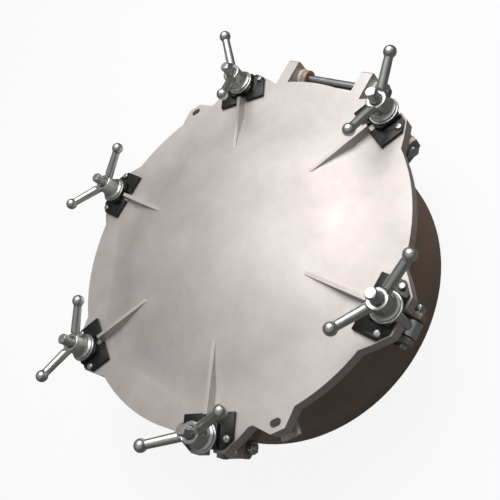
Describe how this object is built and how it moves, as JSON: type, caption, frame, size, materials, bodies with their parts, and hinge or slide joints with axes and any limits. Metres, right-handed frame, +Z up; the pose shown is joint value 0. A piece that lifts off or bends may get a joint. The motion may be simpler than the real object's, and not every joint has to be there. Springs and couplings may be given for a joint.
{
  "type": "tank manway cover",
  "caption": "Domed tank manway cover hinged to a cylindrical neck and held down by swing bolts with ball-ended hand nuts on saddle plates",
  "frame": {"origin": "centre of the neck's lower end, on its axis", "axes": "+Z up the neck, +Y towards the hinge, +X to the right of the hinge seen from the front"},
  "size_m": [0.6243, 0.6318, 0.2444],
  "materials": {
    "neck_steel": "plain stainless steel, satin, in shade",
    "bracket_steel": "plain stainless sheet",
    "lid_casting": "cast and blasted, matt",
    "gasket_rubber": "white moulded rubber",
    "white_plastic": "turned white plastic",
    "hinge_steel": "drawn bar",
    "zinc_steel": "bright plated",
    "black_saddle": "satin black moulding",
    "stud_steel": "bright stainless",
    "bright_nut": "polished stainless casting"
  },
  "bodies": {
    "neck_and_lid": {"neck": "neck_steel", "pivot_lugs": "neck_steel", "hinge_lugs": "neck_steel", "padlock_bracket": "bracket_steel", "lid": "lid_casting", "gasket": "gasket_rubber", "hinge_bushes": "white_plastic", "hinge_pin": "hinge_steel", "hinge_pin_washer": "zinc_steel", "hinge_split_pin": "zinc_steel", "saddles": "black_saddle", "saddle_screws": "zinc_steel", "pivot_bolts": "zinc_steel", "pivot_nuts": "zinc_steel"},
    "clamp_bolt_1": {"swing_bolt_1": "stud_steel"},
    "clamp_washer_1": {"washer_1": "zinc_steel"},
    "clamp_nut_1": {"hand_nut_1": "bright_nut"},
    "clamp_bolt_2": {"swing_bolt_2": "stud_steel"},
    "clamp_washer_2": {"washer_2": "zinc_steel"},
    "clamp_nut_2": {"hand_nut_2": "bright_nut"},
    "clamp_bolt_3": {"swing_bolt_3": "stud_steel"},
    "clamp_washer_3": {"washer_3": "zinc_steel"},
    "clamp_nut_3": {"hand_nut_3": "bright_nut"},
    "clamp_bolt_4": {"swing_bolt_4": "stud_steel"},
    "clamp_washer_4": {"washer_4": "zinc_steel"},
    "clamp_nut_4": {"hand_nut_4": "bright_nut"},
    "clamp_bolt_5": {"swing_bolt_5": "stud_steel"},
    "clamp_washer_5": {"washer_5": "zinc_steel"},
    "clamp_nut_5": {"hand_nut_5": "bright_nut"},
    "clamp_bolt_6": {"swing_bolt_6": "stud_steel"},
    "clamp_washer_6": {"washer_6": "zinc_steel"},
    "clamp_nut_6": {"hand_nut_6": "bright_nut"}
  },
  "joints": [
    {"name": "bolt_swing_1", "type": "hinge", "parent": "neck_and_lid", "child": "clamp_bolt_1", "pos_m": [-0.14235, 0.24656, 0.1085], "axis": [-0.866, -0.5, 0], "range_deg": [0, 100]},
    {"name": "nut_lift_1", "type": "slide", "parent": "clamp_bolt_1", "child": "clamp_washer_1", "axis": [0, 0, 1], "range_m": [0, 0.0161]},
    {"name": "nut_turn_1", "type": "hinge", "parent": "clamp_washer_1", "child": "clamp_nut_1", "pos_m": [-0.14235, 0.24656, 0.2035], "axis": [0, 0, 1], "range_deg": [0, 2880]},
    {"name": "bolt_swing_2", "type": "hinge", "parent": "neck_and_lid", "child": "clamp_bolt_2", "pos_m": [0.14235, 0.24656, 0.1085], "axis": [-0.866, 0.5, 0], "range_deg": [0, 100]},
    {"name": "nut_lift_2", "type": "slide", "parent": "clamp_bolt_2", "child": "clamp_washer_2", "axis": [0, 0, 1], "range_m": [0, 0.0161]},
    {"name": "nut_turn_2", "type": "hinge", "parent": "clamp_washer_2", "child": "clamp_nut_2", "pos_m": [0.14235, 0.24656, 0.2035], "axis": [0, 0, 1], "range_deg": [0, 2880]},
    {"name": "bolt_swing_3", "type": "hinge", "parent": "neck_and_lid", "child": "clamp_bolt_3", "pos_m": [0.2847, 0, 0.1085], "axis": [0, 1, 0], "range_deg": [0, 100]},
    {"name": "nut_lift_3", "type": "slide", "parent": "clamp_bolt_3", "child": "clamp_washer_3", "axis": [0, 0, 1], "range_m": [0, 0.0161]},
    {"name": "nut_turn_3", "type": "hinge", "parent": "clamp_washer_3", "child": "clamp_nut_3", "pos_m": [0.2847, 0, 0.2035], "axis": [0, 0, 1], "range_deg": [0, 2880]},
    {"name": "bolt_swing_4", "type": "hinge", "parent": "neck_and_lid", "child": "clamp_bolt_4", "pos_m": [0.14235, -0.24656, 0.1085], "axis": [0.866, 0.5, 0], "range_deg": [0, 100]},
    {"name": "nut_lift_4", "type": "slide", "parent": "clamp_bolt_4", "child": "clamp_washer_4", "axis": [0, 0, 1], "range_m": [0, 0.0161]},
    {"name": "nut_turn_4", "type": "hinge", "parent": "clamp_washer_4", "child": "clamp_nut_4", "pos_m": [0.14235, -0.24656, 0.2035], "axis": [0, 0, 1], "range_deg": [0, 2880]},
    {"name": "bolt_swing_5", "type": "hinge", "parent": "neck_and_lid", "child": "clamp_bolt_5", "pos_m": [-0.14235, -0.24656, 0.1085], "axis": [0.866, -0.5, 0], "range_deg": [0, 100]},
    {"name": "nut_lift_5", "type": "slide", "parent": "clamp_bolt_5", "child": "clamp_washer_5", "axis": [0, 0, 1], "range_m": [0, 0.0161]},
    {"name": "nut_turn_5", "type": "hinge", "parent": "clamp_washer_5", "child": "clamp_nut_5", "pos_m": [-0.14235, -0.24656, 0.2035], "axis": [0, 0, 1], "range_deg": [0, 2880]},
    {"name": "bolt_swing_6", "type": "hinge", "parent": "neck_and_lid", "child": "clamp_bolt_6", "pos_m": [-0.2847, 0, 0.1085], "axis": [0, -1, 0], "range_deg": [0, 100]},
    {"name": "nut_lift_6", "type": "slide", "parent": "clamp_bolt_6", "child": "clamp_washer_6", "axis": [0, 0, 1], "range_m": [0, 0.0161]},
    {"name": "nut_turn_6", "type": "hinge", "parent": "clamp_washer_6", "child": "clamp_nut_6", "pos_m": [-0.2847, 0, 0.2035], "axis": [0, 0, 1], "range_deg": [0, 2880]}
  ],
  "couplings": [
    {"joint": "nut_lift_1", "follows": "nut_turn_1", "m_per_rad": 0.00031831},
    {"joint": "nut_lift_2", "follows": "nut_turn_2", "m_per_rad": 0.00031831},
    {"joint": "nut_lift_3", "follows": "nut_turn_3", "m_per_rad": 0.00031831},
    {"joint": "nut_lift_4", "follows": "nut_turn_4", "m_per_rad": 0.00031831},
    {"joint": "nut_lift_5", "follows": "nut_turn_5", "m_per_rad": 0.00031831},
    {"joint": "nut_lift_6", "follows": "nut_turn_6", "m_per_rad": 0.00031831}
  ]
}
